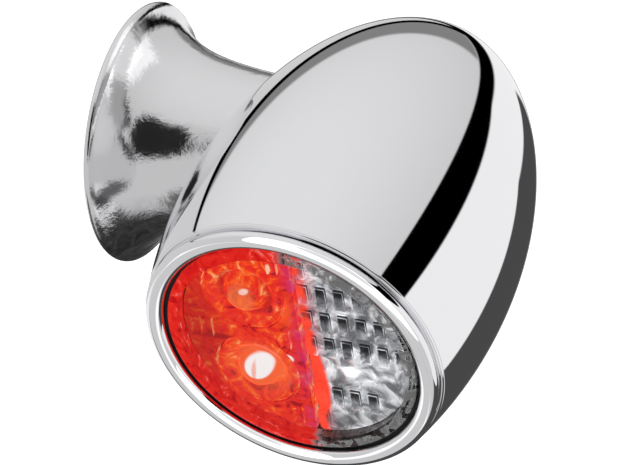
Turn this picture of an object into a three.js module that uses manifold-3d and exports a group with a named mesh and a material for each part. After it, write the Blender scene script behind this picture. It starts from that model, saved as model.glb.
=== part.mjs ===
// A bullet tail light for a motorcycle: a chromed die-cast housing on a trumpet-shaped foot,
// with a round lens that is half tail lamp and half signal lamp.
// Millimetres, +Z up. The origin is the middle of the foot's mounting face. +X runs along the stem
// to the housing, and the lens looks along -Y.
import * as THREE from "three";
import { mergeVertices } from "three/addons/utils/BufferGeometryUtils.js";
import Module from "manifold-3d";

const wasm = await Module();
wasm.setup();

// Driving dimensions.
const HEAD_X = 35.2; // from the mounting face to the housing's own axis
const BODY_RADIUS = 21.45; // housing at its widest
const BODY_LENGTH = 57.9; // lens ring to nose
const WIDEST_DEPTH = 18.2; // how far behind the ring the housing is widest
const RING_RADIUS = 19.0; // lens ring, outside
const STEM_DEPTH = 34.0; // from the ring back to the stem's axis
const WALL = 2.0;

const FOOT_RADIUS = 17.25;
const NECK_RADIUS = 8.95; // what the trumpet narrows towards
const FLARE_LENGTH = 8.0;
const FLARE_POWER = 1.7;
const FOOT_LIP = 1.0; // mounting face to the foot's widest circle

const LENS_RADIUS = 16.2;
const LENS_CROWN = 1.3; // how far the lens bulges ahead of the ring
const LENS_THICKNESS = 2.0;
const OPTIC_RADIUS = 14.7;
const SPLIT_X = 1.1; // the seam between the tail half and the signal half
const TUBE_RADIUS = 3.9; // hollow clamp tube that ties stem and housing
const SOCKET_RADIUS = 3.35; // M8 thread, minor radius
const GAP = 0.15; // clearance between seated pieces
const FIT_GAP = 0.3; // clearance where one piece is cut to another's shape

const ROUND = 48; // sides of the large turned pieces
const ROUND_SMALL = 24; // sides of the small ones

// Solids and booleans.

function toSolid(geometry) {
  const bare = geometry.clone();
  bare.deleteAttribute("normal");
  bare.deleteAttribute("uv");
  const merged = mergeVertices(bare, 1e-3);
  return new wasm.Manifold(
    new wasm.Mesh({
      numProp: 3,
      vertProperties: merged.attributes.position.array,
      triVerts: new Uint32Array(merged.index.array),
    }),
  );
}

function toGeometry(solid) {
  const mesh = solid.getMesh();
  const geometry = new THREE.BufferGeometry();
  geometry.setAttribute("position", new THREE.BufferAttribute(mesh.vertProperties, 3));
  geometry.setIndex(new THREE.BufferAttribute(mesh.triVerts, 1));
  geometry.computeVertexNormals();
  return geometry;
}

const joined = (base, ...more) => more.reduce((sum, geometry) => sum.add(toSolid(geometry)), base);
const cut = (base, ...tools) => tools.reduce((rest, geometry) => rest.subtract(toSolid(geometry)), base);

// Shapes.

// A profile of [radius, distance] turned about the Y axis.
function turned(profile, sides = ROUND) {
  return new THREE.LatheGeometry(
    profile.map(([radius, along]) => new THREE.Vector2(radius, along)),
    sides,
  );
}

// The same, turned about the X axis.
const turnedAlongX = (profile, sides = ROUND) => turned(profile, sides).rotateZ(-Math.PI / 2);

// A profile that closes on itself, for a ring.
const closed = (profile) => [...profile, profile[0]];

// The profile of a plain ring between two radii and two distances.
const ringProfile = (inner, outer, from, to) =>
  closed([
    [inner, from],
    [outer, from],
    [outer, to],
    [inner, to],
  ]);

// The profile of a plain rod.
const rodProfile = (radius, from, to) => [
  [0, from],
  [radius, from],
  [radius, to],
  [0, to],
];

// Points on an arc, as [radius, distance], angles in degrees from the radius direction.
function arc(centre, radius, fromDegrees, toDegrees, steps) {
  return Array.from({ length: steps + 1 }, (_, i) => {
    const angle = THREE.MathUtils.degToRad(fromDegrees + ((toDegrees - fromDegrees) * i) / steps);
    return [centre[0] + radius * Math.cos(angle), centre[1] + radius * Math.sin(angle)];
  });
}

// Points on a shallow dome from the rim to the axis, or back.
function dome(rimRadius, rimDepth, crownDepth, steps) {
  return Array.from({ length: steps + 1 }, (_, i) => {
    const share = 1 - i / steps;
    return [rimRadius * share, crownDepth + (rimDepth - crownDepth) * share * share];
  });
}

// A flat outline in X and Z, made thick from one depth to the next along Y.
function plate(shape, from, to) {
  const thickness = to - from;
  return new THREE.ExtrudeGeometry(shape, { depth: thickness, bevelEnabled: false, curveSegments: 12 })
    .rotateX(Math.PI / 2)
    .translate(0, from + thickness, 0);
}

function box(width, depth, height, x, y, z) {
  return new THREE.BoxGeometry(width, depth, height).translate(x, y, z);
}

// Meshes and groups.

function material(color, roughness, metalness, more = {}) {
  return new THREE.MeshStandardMaterial({ color, roughness, metalness, ...more });
}

const CHROME = [0xd6d8da, 0.05, 1.0];
const BLACK_RUBBER = [0x17181a, 0.7, 0.0];
const STEEL = [0xa9abae, 0.3, 1.0];
const BRASS = [0xb9924a, 0.35, 1.0];
const RED_OPTIC = [0xe3241c, 0.12, 0.0];
const CLEAR_OPTIC = [0xe9edef, 0.06, 0.0];
const BOARD = [0x1f5a35, 0.5, 0.0];
const DARK_PLASTIC = [0x232426, 0.45, 0.0];

// Adds one named sub-part to a group. The shape is a geometry or a solid.
function add(group, name, shape, finish, more) {
  const geometry = shape.isBufferGeometry ? shape : toGeometry(shape);
  const mesh = new THREE.Mesh(geometry, material(...finish, more));
  mesh.name = name;
  group.add(mesh);
  return mesh;
}

const light = new THREE.Group();

// Everything on the housing's axis: distances along it are depths behind the lens ring.
const head = new THREE.Group();
head.position.set(HEAD_X, -STEM_DEPTH, 0);
light.add(head);

// The housing: a bullet, widest a third of the way back.

const NOSE_SHAPE = 0.1; // draws the rear half in from a plain ellipse, so the nose is a little finer
const FRONT_CURVE = (1 - (RING_RADIUS / BODY_RADIUS) ** 2) / WIDEST_DEPTH ** 2;

function bodyRadius(depth) {
  const ahead = depth - WIDEST_DEPTH;
  if (ahead < 0) return BODY_RADIUS * Math.sqrt(1 - FRONT_CURVE * ahead ** 2);
  const share = (ahead / (BODY_LENGTH - WIDEST_DEPTH)) ** 2;
  return BODY_RADIUS * Math.sqrt(Math.max(0, (1 - share) * (1 - NOSE_SHAPE * share)));
}

// Outline points from the front edge to the nose, moved out or in by an offset.
function bodyOutline(frontDepth, offset, steps) {
  const length = BODY_LENGTH + offset - frontDepth;
  const scale = (BODY_LENGTH - frontDepth) / length;
  return Array.from({ length: steps + 1 }, (_, i) => {
    // Steps close up towards the nose, where the outline turns fastest.
    const depth = frontDepth + length * Math.sin((Math.PI / 2) * (i / steps));
    const radius = bodyRadius(frontDepth + (depth - frontDepth) * scale);
    return [i === steps ? 0 : radius + offset * Math.min(1, radius / 8), depth];
  });
}

const BODY_FRONT = 0.95; // the housing's front edge, just behind the ring's bead
const MOUTH_RADIUS = 18.0; // the straight mouth that takes the ring's skirt
const MOUTH_DEPTH = 6.0;
const BOSS_RADIUS = 7.2;
const BOSS_FACE_X = 19.2 - HEAD_X; // flat seat inside the housing for the clamp tube's head
const SEAT_RADIUS = 6.8; // the seat is cut flat this far out

function housingShell() {
  const outside = toSolid(turned([[0, BODY_FRONT], ...bodyOutline(BODY_FRONT, 0, 18)]));
  const cavity = turned([
    [0, 0],
    [MOUTH_RADIUS, 0],
    [MOUTH_RADIUS, MOUTH_DEPTH],
    ...bodyOutline(MOUTH_DEPTH + 1, -WALL, 12),
  ]);
  const shell = cut(outside, cavity);
  const across = (radius, from, to) =>
    turnedAlongX(rodProfile(radius, from, to), ROUND_SMALL).translate(0, STEM_DEPTH, 0);
  const boss = toSolid(across(BOSS_RADIUS, -BODY_RADIUS, BOSS_FACE_X)).intersect(outside);
  return cut(
    shell.add(boss),
    across(SEAT_RADIUS, BOSS_FACE_X, 0),
    across(TUBE_RADIUS + GAP, -BODY_RADIUS, 0),
  );
}

add(head, "housing_shell", housingShell(), CHROME);

// The foot and stem: a trumpet with a flat mounting face, its other end cut to sit on the housing.

const LIP_ROUND = 0.55; // radius of the foot's rounded edge
const RIM_BAND = 3.6; // width of the flat ring that bears on the bracket
const FACE_RECESS = 1.6; // depth of the gasket's recess in the mounting face
const HUB_RADIUS = 7.4; // middle of the foot, around the threaded insert
const INSERT_RADIUS = 5.4;
const INSERT_LENGTH = 8.6;
const TUBE_FOOT_X = 11.0; // where the clamp tube ends inside the stem
const SEAL_RADIUS = 6.2; // ring seal in the stem's housing end
const SEAL_DEPTH = 1.6;
const SEAL_X = HEAD_X - bodyRadius(STEM_DEPTH - SEAL_RADIUS) - FIT_GAP - SEAL_DEPTH;

const trumpetRadius = (x) =>
  NECK_RADIUS + (FOOT_RADIUS - NECK_RADIUS) * (1 + (x - FOOT_LIP) / FLARE_LENGTH) ** -FLARE_POWER;

function footStem() {
  const steps = 12;
  const neckEnd = HEAD_X - 12;
  const flare = Array.from({ length: steps }, (_, i) => {
    const x = FOOT_LIP + 0.35 + (neckEnd - FOOT_LIP - 0.35) * ((i + 1) / steps) ** 1.7;
    return [trumpetRadius(x), x];
  });
  const trumpet = toSolid(
    turnedAlongX([
      [0, 0],
      [FOOT_RADIUS - LIP_ROUND, 0],
      ...arc([FOOT_RADIUS - LIP_ROUND, LIP_ROUND], LIP_ROUND, -60, 40, 4),
      ...flare,
      [0, neckEnd],
    ]),
  );
  const housing = turned([[0, BODY_FRONT], ...bodyOutline(BODY_FRONT, FIT_GAP, 18)]);
  housing.translate(HEAD_X, -STEM_DEPTH, 0);
  const recess = turnedAlongX(ringProfile(HUB_RADIUS, FOOT_RADIUS - LIP_ROUND - RIM_BAND, -1, FACE_RECESS));
  return cut(
    trumpet,
    housing,
    recess,
    turnedAlongX(rodProfile(INSERT_RADIUS + GAP, -1, INSERT_LENGTH + GAP), ROUND_SMALL),
    turnedAlongX(rodProfile(TUBE_RADIUS + GAP, 1, neckEnd), ROUND_SMALL),
    turnedAlongX(rodProfile(SEAL_RADIUS + GAP, SEAL_X, neckEnd), ROUND_SMALL),
  );
}

add(light, "foot_stem", footStem(), CHROME);

// What the foot holds: the M8 socket, the cable's grommet and the gasket under the foot.

function mountInsert() {
  const groove = 0.5;
  return turnedAlongX(
    closed([
      [SOCKET_RADIUS, 0],
      [INSERT_RADIUS, 0],
      [INSERT_RADIUS, 3.4],
      [INSERT_RADIUS - groove, 3.9],
      [INSERT_RADIUS - groove, 4.9],
      [INSERT_RADIUS, 5.4],
      [INSERT_RADIUS, INSERT_LENGTH],
      [SOCKET_RADIUS, INSERT_LENGTH],
    ]),
    ROUND_SMALL,
  );
}

const CABLE_RADIUS = 2.3; // the grommet's bore

function cableGrommet() {
  const start = INSERT_LENGTH + 2 * GAP;
  const end = TUBE_FOOT_X - GAP;
  return turnedAlongX(ringProfile(CABLE_RADIUS, TUBE_RADIUS, start, end), ROUND_SMALL);
}

const gasketOuter = FOOT_RADIUS - LIP_ROUND - RIM_BAND - GAP;

add(light, "mount_insert", mountInsert(), BRASS);
add(light, "cable_grommet", cableGrommet(), BLACK_RUBBER);
add(
  light,
  "foot_gasket",
  turnedAlongX(ringProfile(HUB_RADIUS + GAP, gasketOuter, GAP, FACE_RECESS - GAP)),
  BLACK_RUBBER,
);

// What ties the stem to the housing: a hollow hexagon-headed tube, a washer and a ring seal.

const HEX_RADIUS = 6.2; // over corners
const HEX_HEIGHT = 3.2;
const WASHER_THICKNESS = 1.0;
const TUBE_BORE = 2.5;
const seatX = HEAD_X + BOSS_FACE_X;

function clampTube() {
  const headX = seatX + WASHER_THICKNESS + 2 * GAP;
  const shank = toSolid(turnedAlongX(rodProfile(TUBE_RADIUS, TUBE_FOOT_X, headX + 0.5), ROUND_SMALL));
  const hexagon = turnedAlongX(rodProfile(HEX_RADIUS, headX, headX + HEX_HEIGHT), 6);
  const bore = turnedAlongX(rodProfile(TUBE_BORE, TUBE_FOOT_X - 1, headX + HEX_HEIGHT + 1), ROUND_SMALL);
  return cut(joined(shank, hexagon), bore);
}

const washer = ringProfile(TUBE_RADIUS + GAP, HEX_RADIUS, seatX + GAP, seatX + GAP + WASHER_THICKNESS);
const stemSeal = ringProfile(TUBE_RADIUS + GAP, SEAL_RADIUS, SEAL_X + GAP, SEAL_X + SEAL_DEPTH);

add(light, "clamp_tube", clampTube(), STEEL);
add(light, "clamp_washer", turnedAlongX(washer, ROUND_SMALL), STEEL);
add(light, "stem_seal", turnedAlongX(stemSeal, ROUND_SMALL), BLACK_RUBBER);

// The lens ring: a round polished bead in front, with a thin skirt pressed into the housing's mouth.

const BEAD_RADIUS = 0.85;
const SKIRT_INNER = 17.2;
const SKIRT_OUTER = MOUTH_RADIUS - GAP;
const SKIRT_DEPTH = 4.6;

function bezelRing() {
  const beadCentre = [RING_RADIUS - BEAD_RADIUS, 0];
  return turned(
    closed([
      [SKIRT_OUTER, SKIRT_DEPTH],
      [SKIRT_INNER, SKIRT_DEPTH],
      [SKIRT_INNER, 0.45],
      ...arc(beadCentre, BEAD_RADIUS, -190, 45, 8),
      [SKIRT_OUTER, 0.75],
    ]),
  );
}

add(head, "bezel_ring", bezelRing(), CHROME);

// The lens, its gasket, and the plastic carrier that everything behind the lens sits in.

const FLANGE_DEPTH = 3.0;

function lens() {
  return turned([
    ...dome(LENS_RADIUS - 0.2, 0, -LENS_CROWN, 6).reverse(),
    [LENS_RADIUS, 0.2],
    [LENS_RADIUS, FLANGE_DEPTH],
    [OPTIC_RADIUS + GAP, FLANGE_DEPTH],
    ...dome(OPTIC_RADIUS + GAP, LENS_THICKNESS - 0.2, LENS_THICKNESS - LENS_CROWN, 4),
  ]);
}

const CARRIER_INNER = 15.1;
const CARRIER_RECESS = 15.9; // wider behind, for the board and the heat sink
const RECESS_DEPTH = 10.0;
const CARRIER_DEPTH = 15.2;
const carrierFront = FLANGE_DEPTH + GAP;

add(head, "lens", lens(), CLEAR_OPTIC, { transparent: true, opacity: 0.35 });
add(
  head,
  "lens_gasket",
  turned(ringProfile(LENS_RADIUS + 0.1, SKIRT_INNER - 0.1, 0.5, FLANGE_DEPTH)),
  BLACK_RUBBER,
);
add(
  head,
  "lamp_carrier",
  turned(
    closed([
      [CARRIER_INNER, carrierFront],
      [SKIRT_INNER - GAP, carrierFront],
      [SKIRT_INNER - GAP, CARRIER_DEPTH],
      [CARRIER_RECESS, CARRIER_DEPTH],
      [CARRIER_RECESS, RECESS_DEPTH],
      [CARRIER_INNER, RECESS_DEPTH],
    ]),
  ),
  DARK_PLASTIC,
);

// The optics behind the lens. The tail half holds two domed collimators, the signal half is a
// plate of small stepped prisms.

const COLLIMATOR = { x: -6.0, z: 6.2, radius: 5.2 };
const SIGNAL_LAMP = { x: 7.2, z: 4.6 };
const PLATE_FRONT = 2.9;
const PLATE_BACK = 4.2;

// The part of a disc beyond a straight edge, on the +X side of it.
function discSegment(radius, edgeX) {
  const half = Math.acos(edgeX / radius);
  const shape = new THREE.Shape();
  shape.absarc(0, 0, radius, -half, half, false);
  shape.closePath();
  return shape;
}

const rod = (radius, from, to, x, z) =>
  turned(rodProfile(radius, from, to), ROUND_SMALL).translate(x, 0, z);

function tailOptic() {
  const half = plate(discSegment(OPTIC_RADIUS, -SPLIT_X + 2 * GAP), PLATE_FRONT, PLATE_BACK);
  half.rotateY(Math.PI);
  const holes = [-1, 1].map((side) =>
    rod(COLLIMATOR.radius + FIT_GAP, PLATE_FRONT - 1, PLATE_BACK + 1, COLLIMATOR.x, side * COLLIMATOR.z),
  );
  return cut(toSolid(half), ...holes);
}

function collimator() {
  const { radius } = COLLIMATOR;
  return turned(
    [
      ...dome(radius, 3.1, 1.45, 5).reverse(),
      [radius, 4.2],
      [2.7, 9.0],
      [1.9, 9.0],
      [1.7, 7.4],
      [0, 7.0],
    ],
    ROUND_SMALL,
  );
}

const PRISM = { width: 1.3, height: 2.9, depth: 1.0, pitchX: 2.3, pitchZ: 4.1, columns: 6, rows: 7 };

// A prism is a wedge, thick at the top and nothing at its foot.
function prism(x, z) {
  const side = new THREE.Shape();
  side.moveTo(0.2, -PRISM.height / 2);
  side.lineTo(0.2, PRISM.height / 2);
  side.lineTo(-PRISM.depth, PRISM.height / 2);
  side.lineTo(-0.2, -PRISM.height / 2);
  side.closePath();
  // The outline's first axis becomes depth, its second height, and its thickness the width.
  return new THREE.ExtrudeGeometry(side, { depth: PRISM.width, bevelEnabled: false })
    .rotateX(Math.PI / 2)
    .rotateZ(Math.PI / 2)
    .translate(x - PRISM.width / 2, PLATE_FRONT, z);
}

function signalOptic() {
  let solid = toSolid(plate(discSegment(OPTIC_RADIUS, SPLIT_X + 2 * GAP), PLATE_FRONT, PLATE_BACK));
  for (let column = 0; column < PRISM.columns; column++)
    for (let row = 0; row < PRISM.rows; row++) {
      const x = SPLIT_X + 1.0 + column * PRISM.pitchX;
      const z = (row - (PRISM.rows - 1) / 2) * PRISM.pitchZ;
      const corner = Math.hypot(x + PRISM.width / 2, Math.abs(z) + PRISM.height / 2);
      if (corner < OPTIC_RADIUS - FIT_GAP) solid = joined(solid, prism(x, z));
    }
  return solid;
}

const DIVIDER_THICKNESS = 1.0;
const REFLECTOR_FRONT = 6.0;
const REFLECTOR_FLOOR = 9.2;
const REFLECTOR_BACK = 9.8;
const BOWL_FLOOR_RADIUS = 12.2;
const BOWL_MOUTH_RADIUS = 14.0;
const TAIL_WINDOW_RADIUS = 3.2; // holes that the LEDs shine through
const SIGNAL_WINDOW_RADIUS = 2.6;

function reflector() {
  const bowl = toSolid(
    turned([
      [0, REFLECTOR_FLOOR],
      [BOWL_FLOOR_RADIUS, REFLECTOR_FLOOR],
      [BOWL_MOUTH_RADIUS, REFLECTOR_FRONT],
      [CARRIER_INNER - GAP, REFLECTOR_FRONT],
      [CARRIER_INNER - GAP, REFLECTOR_BACK],
      [0, REFLECTOR_BACK],
    ]),
  );
  const from = REFLECTOR_FLOOR - 1;
  const to = REFLECTOR_BACK + 1;
  const windows = [-1, 1].flatMap((side) => [
    rod(TAIL_WINDOW_RADIUS, from, to, COLLIMATOR.x, side * COLLIMATOR.z),
    rod(SIGNAL_WINDOW_RADIUS, from, to, SIGNAL_LAMP.x, side * SIGNAL_LAMP.z),
  ]);
  return cut(bowl, ...windows);
}

add(head, "tail_optic", tailOptic(), RED_OPTIC, { transparent: true, opacity: 0.8 });
add(head, "collimator_upper", collimator(), RED_OPTIC).position.set(COLLIMATOR.x, 0, COLLIMATOR.z);
add(head, "collimator_lower", collimator(), RED_OPTIC).position.set(COLLIMATOR.x, 0, -COLLIMATOR.z);
add(head, "signal_optic", signalOptic(), CLEAR_OPTIC, { transparent: true, opacity: 0.6 });
add(
  head,
  "chamber_divider",
  box(
    DIVIDER_THICKNESS,
    REFLECTOR_FLOOR - PLATE_BACK - 2 * GAP,
    24,
    SPLIT_X,
    (REFLECTOR_FLOOR + PLATE_BACK) / 2,
    0,
  ),
  DARK_PLASTIC,
);
add(head, "reflector", reflector(), CHROME);

// The LED board, its four LEDs and the aluminium heat sink behind it.

const BOARD_RADIUS = 15.6;
const BOARD_FRONT = 10.2;
const BOARD_BACK = 11.8;
const SINK_BACK = 15.0;
const SCREW_OFFSET = 13.2; // sink screws, above and below the axis
const SCREW_RADIUS = 0.9;
const SPACER_OFFSET = 8.5; // board spacers, left and right of the axis

function drilledDisc(radius, from, to) {
  const disc = toSolid(turned(rodProfile(radius, from, to)));
  const holes = [-1, 1].map((side) =>
    rod(SCREW_RADIUS + FIT_GAP, from - 1, to + 1, 0, side * SCREW_OFFSET),
  );
  return cut(disc, ...holes);
}

function heatSink() {
  let sink = drilledDisc(BOARD_RADIUS, BOARD_BACK + GAP, SINK_BACK);
  const finHeight = 2.4;
  for (const z of [-6, -3, 0, 3, 6])
    sink = joined(sink, box(11, finHeight + 1, 1.2, 0, SINK_BACK + (finHeight - 1) / 2, z));
  return sink;
}

add(head, "led_board", drilledDisc(BOARD_RADIUS, BOARD_FRONT, BOARD_BACK), [0xe4e6e4, 0.5, 0.0]);
add(head, "heat_sink", heatSink(), [0x9c9fa2, 0.45, 1.0]);

const LED_SIZE = 2.8;
const LED_HEIGHT = 0.8;
const ledDepth = BOARD_FRONT - GAP - LED_HEIGHT / 2;
const leds = [
  ["tail_led_upper", COLLIMATOR.x, COLLIMATOR.z, 0xf2a08c],
  ["tail_led_lower", COLLIMATOR.x, -COLLIMATOR.z, 0xf2a08c],
  ["signal_led_upper", SIGNAL_LAMP.x, SIGNAL_LAMP.z, 0xf4e3a0],
  ["signal_led_lower", SIGNAL_LAMP.x, -SIGNAL_LAMP.z, 0xf4e3a0],
];
for (const [name, x, z, color] of leds) {
  const led = add(head, name, box(LED_SIZE, LED_HEIGHT, LED_SIZE, 0, 0, 0), [color, 0.3, 0.0]);
  led.position.set(x, ledDepth, z);
}

// A pan-headed screw along Y: the shank points forward from its seat.
function screw(length, shankRadius, headRadius, headHeight) {
  return turned(
    [
      [0, -length],
      [shankRadius, -length],
      [shankRadius, 0],
      [headRadius, 0],
      [headRadius, headHeight * 0.6],
      [headRadius * 0.6, headHeight],
      [0, headHeight],
    ],
    16,
  );
}

for (const [name, side] of [["sink_screw_upper", 1], ["sink_screw_lower", -1]])
  add(head, name, screw(5, SCREW_RADIUS, 1.8, 1.3), STEEL).position.set(
    0,
    SINK_BACK + GAP,
    side * SCREW_OFFSET,
  );

// The driver board behind the heat sink, on two spacers, and what is soldered to it.

const DRIVER_FRONT = 21.4;
const DRIVER_BACK = 23.0;
const DRIVER_RADIUS = 12.0;

function driverBoard() {
  const disc = toSolid(turned(rodProfile(DRIVER_RADIUS, DRIVER_FRONT, DRIVER_BACK)));
  const holes = [-1, 1].map((side) =>
    rod(SCREW_RADIUS + FIT_GAP, DRIVER_FRONT - 1, DRIVER_BACK + 1, side * SPACER_OFFSET, 0),
  );
  return cut(disc, ...holes);
}

add(head, "driver_board", driverBoard(), BOARD);

const spacerProfile = ringProfile(
  SCREW_RADIUS + FIT_GAP,
  2.2,
  SINK_BACK + GAP,
  DRIVER_FRONT - GAP,
);
for (const [word, side] of [["left", -1], ["right", 1]]) {
  add(head, "board_spacer_" + word, turned(spacerProfile, 6), BRASS).position.x = side * SPACER_OFFSET;
  add(head, "spacer_screw_" + word, screw(5, SCREW_RADIUS, 1.8, 1.3), STEEL).position.set(
    side * SPACER_OFFSET,
    DRIVER_BACK + GAP,
    0,
  );
}

const partFront = DRIVER_BACK + GAP;

function terminalBlock() {
  const size = { width: 9, depth: 6, height: 5 };
  const body = toSolid(box(size.width, size.depth, size.height, 0, size.depth / 2, 0));
  const wires = [-1, 0, 1].map((i) =>
    turned(rodProfile(1.0, size.depth - 3.5, size.depth + 1), 12).translate(i * 2.8, 0, 0),
  );
  return cut(body, ...wires);
}

function filterCoil() {
  return turned(
    [
      [0, 0],
      [3.0, 0],
      [3.0, 0.7],
      [2.1, 0.9],
      [2.1, 3.1],
      [3.0, 3.3],
      [3.0, 4.0],
      [0, 4.0],
    ],
    ROUND_SMALL,
  );
}

function inputCapacitor() {
  return turned(
    [
      [0, 0],
      [3.1, 0],
      [3.1, 0.9],
      [2.8, 1.2],
      [3.1, 1.5],
      [3.1, 6.6],
      [2.8, 7.0],
      [0, 7.0],
    ],
    ROUND_SMALL,
  );
}

add(head, "driver_chip", box(5, 1.5, 4, 0, 0.75, 0), DARK_PLASTIC).position.set(0, partFront, 0.2);
add(head, "input_capacitor", inputCapacitor(), [0xb4b6b9, 0.3, 1.0]).position.set(-4.0, partFront, 6.2);
add(head, "filter_coil", filterCoil(), [0x3a3633, 0.6, 0.0]).position.set(4.2, partFront, 6.4);
add(head, "surge_diode", box(4.4, 2.2, 2.6, 0, 1.1, 0), DARK_PLASTIC).position.set(-6.2, partFront, -3.9);
add(head, "terminal_block", terminalBlock(), [0x2f6f4a, 0.4, 0.0]).position.set(1.8, partFront, -7.0);

export default light;
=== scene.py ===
import math

import bpy
from mathutils import Matrix, Vector


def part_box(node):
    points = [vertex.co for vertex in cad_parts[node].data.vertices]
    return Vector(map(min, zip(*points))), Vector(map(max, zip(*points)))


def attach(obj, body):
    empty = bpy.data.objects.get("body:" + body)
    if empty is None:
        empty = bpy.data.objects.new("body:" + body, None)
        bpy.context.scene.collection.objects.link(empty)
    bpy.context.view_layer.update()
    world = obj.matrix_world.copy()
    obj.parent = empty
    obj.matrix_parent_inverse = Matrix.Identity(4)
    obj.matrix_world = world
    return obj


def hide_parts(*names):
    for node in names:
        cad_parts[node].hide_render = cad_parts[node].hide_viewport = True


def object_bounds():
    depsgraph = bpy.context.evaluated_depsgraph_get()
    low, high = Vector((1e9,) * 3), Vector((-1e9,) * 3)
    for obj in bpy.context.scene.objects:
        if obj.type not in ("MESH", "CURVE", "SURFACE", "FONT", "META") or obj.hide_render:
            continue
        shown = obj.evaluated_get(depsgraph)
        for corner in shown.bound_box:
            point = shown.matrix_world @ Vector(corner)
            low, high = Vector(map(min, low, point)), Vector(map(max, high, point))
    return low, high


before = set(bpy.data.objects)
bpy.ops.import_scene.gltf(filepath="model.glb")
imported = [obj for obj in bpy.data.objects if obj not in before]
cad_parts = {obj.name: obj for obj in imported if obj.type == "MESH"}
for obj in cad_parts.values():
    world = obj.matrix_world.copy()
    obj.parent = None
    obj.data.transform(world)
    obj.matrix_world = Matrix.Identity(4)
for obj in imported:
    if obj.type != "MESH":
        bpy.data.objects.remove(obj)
cad_low, cad_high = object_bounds()

# ---------------------------------------------------------------------------------------------
# Camera: a long lens, looking down on the lens from the front right, with the light tipped over
# a little in the frame. It is aimed at the middle of the lens ring, as packed.

MM = 0.001
ring_low, ring_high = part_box("bezel_ring")
head_x = (ring_low[0] + ring_high[0]) / 2
BEAD_RADIUS = 0.85 * MM
ring_y = ring_low[1] + BEAD_RADIUS

AZIMUTH = math.radians(28.74)
ELEVATION = math.radians(41.19)
TILT = math.radians(-10.33)
DISTANCE = 380.3 * MM
LENS_LENGTH = 183.36
SENSOR_WIDTH = 36.0
SLIDE_RIGHT = 2.36 * MM
SLIDE_UP = 14.35 * MM

back = Vector(
    (
        math.sin(AZIMUTH) * math.cos(ELEVATION),
        -math.cos(AZIMUTH) * math.cos(ELEVATION),
        math.sin(ELEVATION),
    )
)
level_right = Vector((math.cos(AZIMUTH), math.sin(AZIMUTH), 0))
level_up = back.cross(level_right)
right = level_right * math.cos(TILT) + level_up * math.sin(TILT)
up = level_up * math.cos(TILT) - level_right * math.sin(TILT)

camera_data = bpy.data.cameras.new("studio_camera")
camera_data.lens = LENS_LENGTH
camera_data.sensor_width = SENSOR_WIDTH
camera_data.clip_start = 0.01
camera = bpy.data.objects.new("studio_camera", camera_data)
bpy.context.scene.collection.objects.link(camera)
place = Vector((head_x, ring_y, 0)) + DISTANCE * back + SLIDE_RIGHT * right + SLIDE_UP * up
turn = Matrix((right, up, back)).transposed().to_4x4()
camera.matrix_world = Matrix.Translation(place) @ turn
bpy.context.scene.camera = camera
bpy.context.scene.view_settings.view_transform = "Standard"

# ---------------------------------------------------------------------------------------------
# Studio: a white room with one large soft box overhead, and white, grey and black cards beside it.
# Chrome has no colour of its own, so these give it its bands. Below lies a sweep of white paper.


def linear(hex_colour):
    """An sRGB hex colour as linear red, green, blue and alpha."""
    channels = [int(hex_colour[i : i + 2], 16) / 255 for i in (1, 3, 5)]
    spread = [c / 12.92 if c <= 0.04045 else ((c + 0.055) / 1.055) ** 2.4 for c in channels]
    return (*spread, 1.0)


def grey(hex_colour):
    return linear(hex_colour)[0]


def add_node(tree, kind, inputs=None, **settings):
    """Adds a node, sets its properties, and fills or links its inputs."""
    made = tree.nodes.new(kind)
    for key, value in settings.items():
        setattr(made, key, value)
    for key, value in (inputs or {}).items():
        if isinstance(value, bpy.types.NodeSocket):
            tree.links.new(value, made.inputs[key])
        else:
            made.inputs[key].default_value = value
    return made


def maths(tree, operation, *values, **settings):
    """What a sum, a product or the like of some values comes to."""
    node = add_node(tree, "ShaderNodeMath", dict(enumerate(values)), operation=operation, **settings)
    return node.outputs[0]


world = bpy.data.worlds.new("photo studio")
bpy.context.scene.world = world
world.use_nodes = True
sky = world.node_tree
sky.nodes.clear()
direction = add_node(sky, "ShaderNodeTexCoord").outputs["Generated"]


def side_of(normal, softness):
    """1 on the side of a plane through the object that its normal points to, 0 on the other."""
    along = Vector(normal).normalized()
    reach = add_node(sky, "ShaderNodeVectorMath", {0: direction, 1: along}, operation="DOT_PRODUCT")
    return add_node(
        sky,
        "ShaderNodeMapRange",
        {"Value": reach.outputs["Value"], "From Min": -softness, "From Max": softness},
        interpolation_type="SMOOTHSTEP",
    ).outputs["Result"]


def both(*masks):
    result = masks[0]
    for mask in masks[1:]:
        result = maths(sky, "MULTIPLY", result, mask)
    return result


def lay_over(base, card, mask):
    """The room's tone with a card of another tone in front of it."""
    return add_node(sky, "ShaderNodeMix", {"Factor": mask, 2: base, 3: card}).outputs[0]


WHITE_CARD = 0.93
BLACK_CARD = 0.0
GREY_CARD = grey("#858587")
DARK_FLOOR = grey("#4A484B")
EDGE = 0.012
THIN_EDGE = 0.006

# Each card is the part of the room between planes through the object.
over_line = side_of((0.34, 0.485, 1.0), THIN_EDGE)
under_line = side_of((-0.34, -0.385, -1.0), THIN_EDGE)
box_side = side_of((-0.76, 0.19, 1.0), EDGE)
below_box = side_of((0.76, -0.19, -1.0), EDGE)
white_card = both(
    side_of((0.304, -0.2007, -1.0), EDGE),
    side_of((0.65, -0.322, -1.0), EDGE),
)
grey_card = both(
    side_of((-0.456, -0.105, -1.0), 0.03),
    side_of((-0.147, -0.034, -1.0), 0.03),
    over_line,
    box_side,
)
line_card = both(over_line, under_line, side_of((-1.0, -0.2, -0.5), 0.05))
dark_floor = both(
    side_of((-1.115, -0.03, -1.0), EDGE),
    side_of((1.28, -0.534, -1.0), EDGE),
    side_of((0.0, -0.545, -1.0), EDGE),
)

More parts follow.
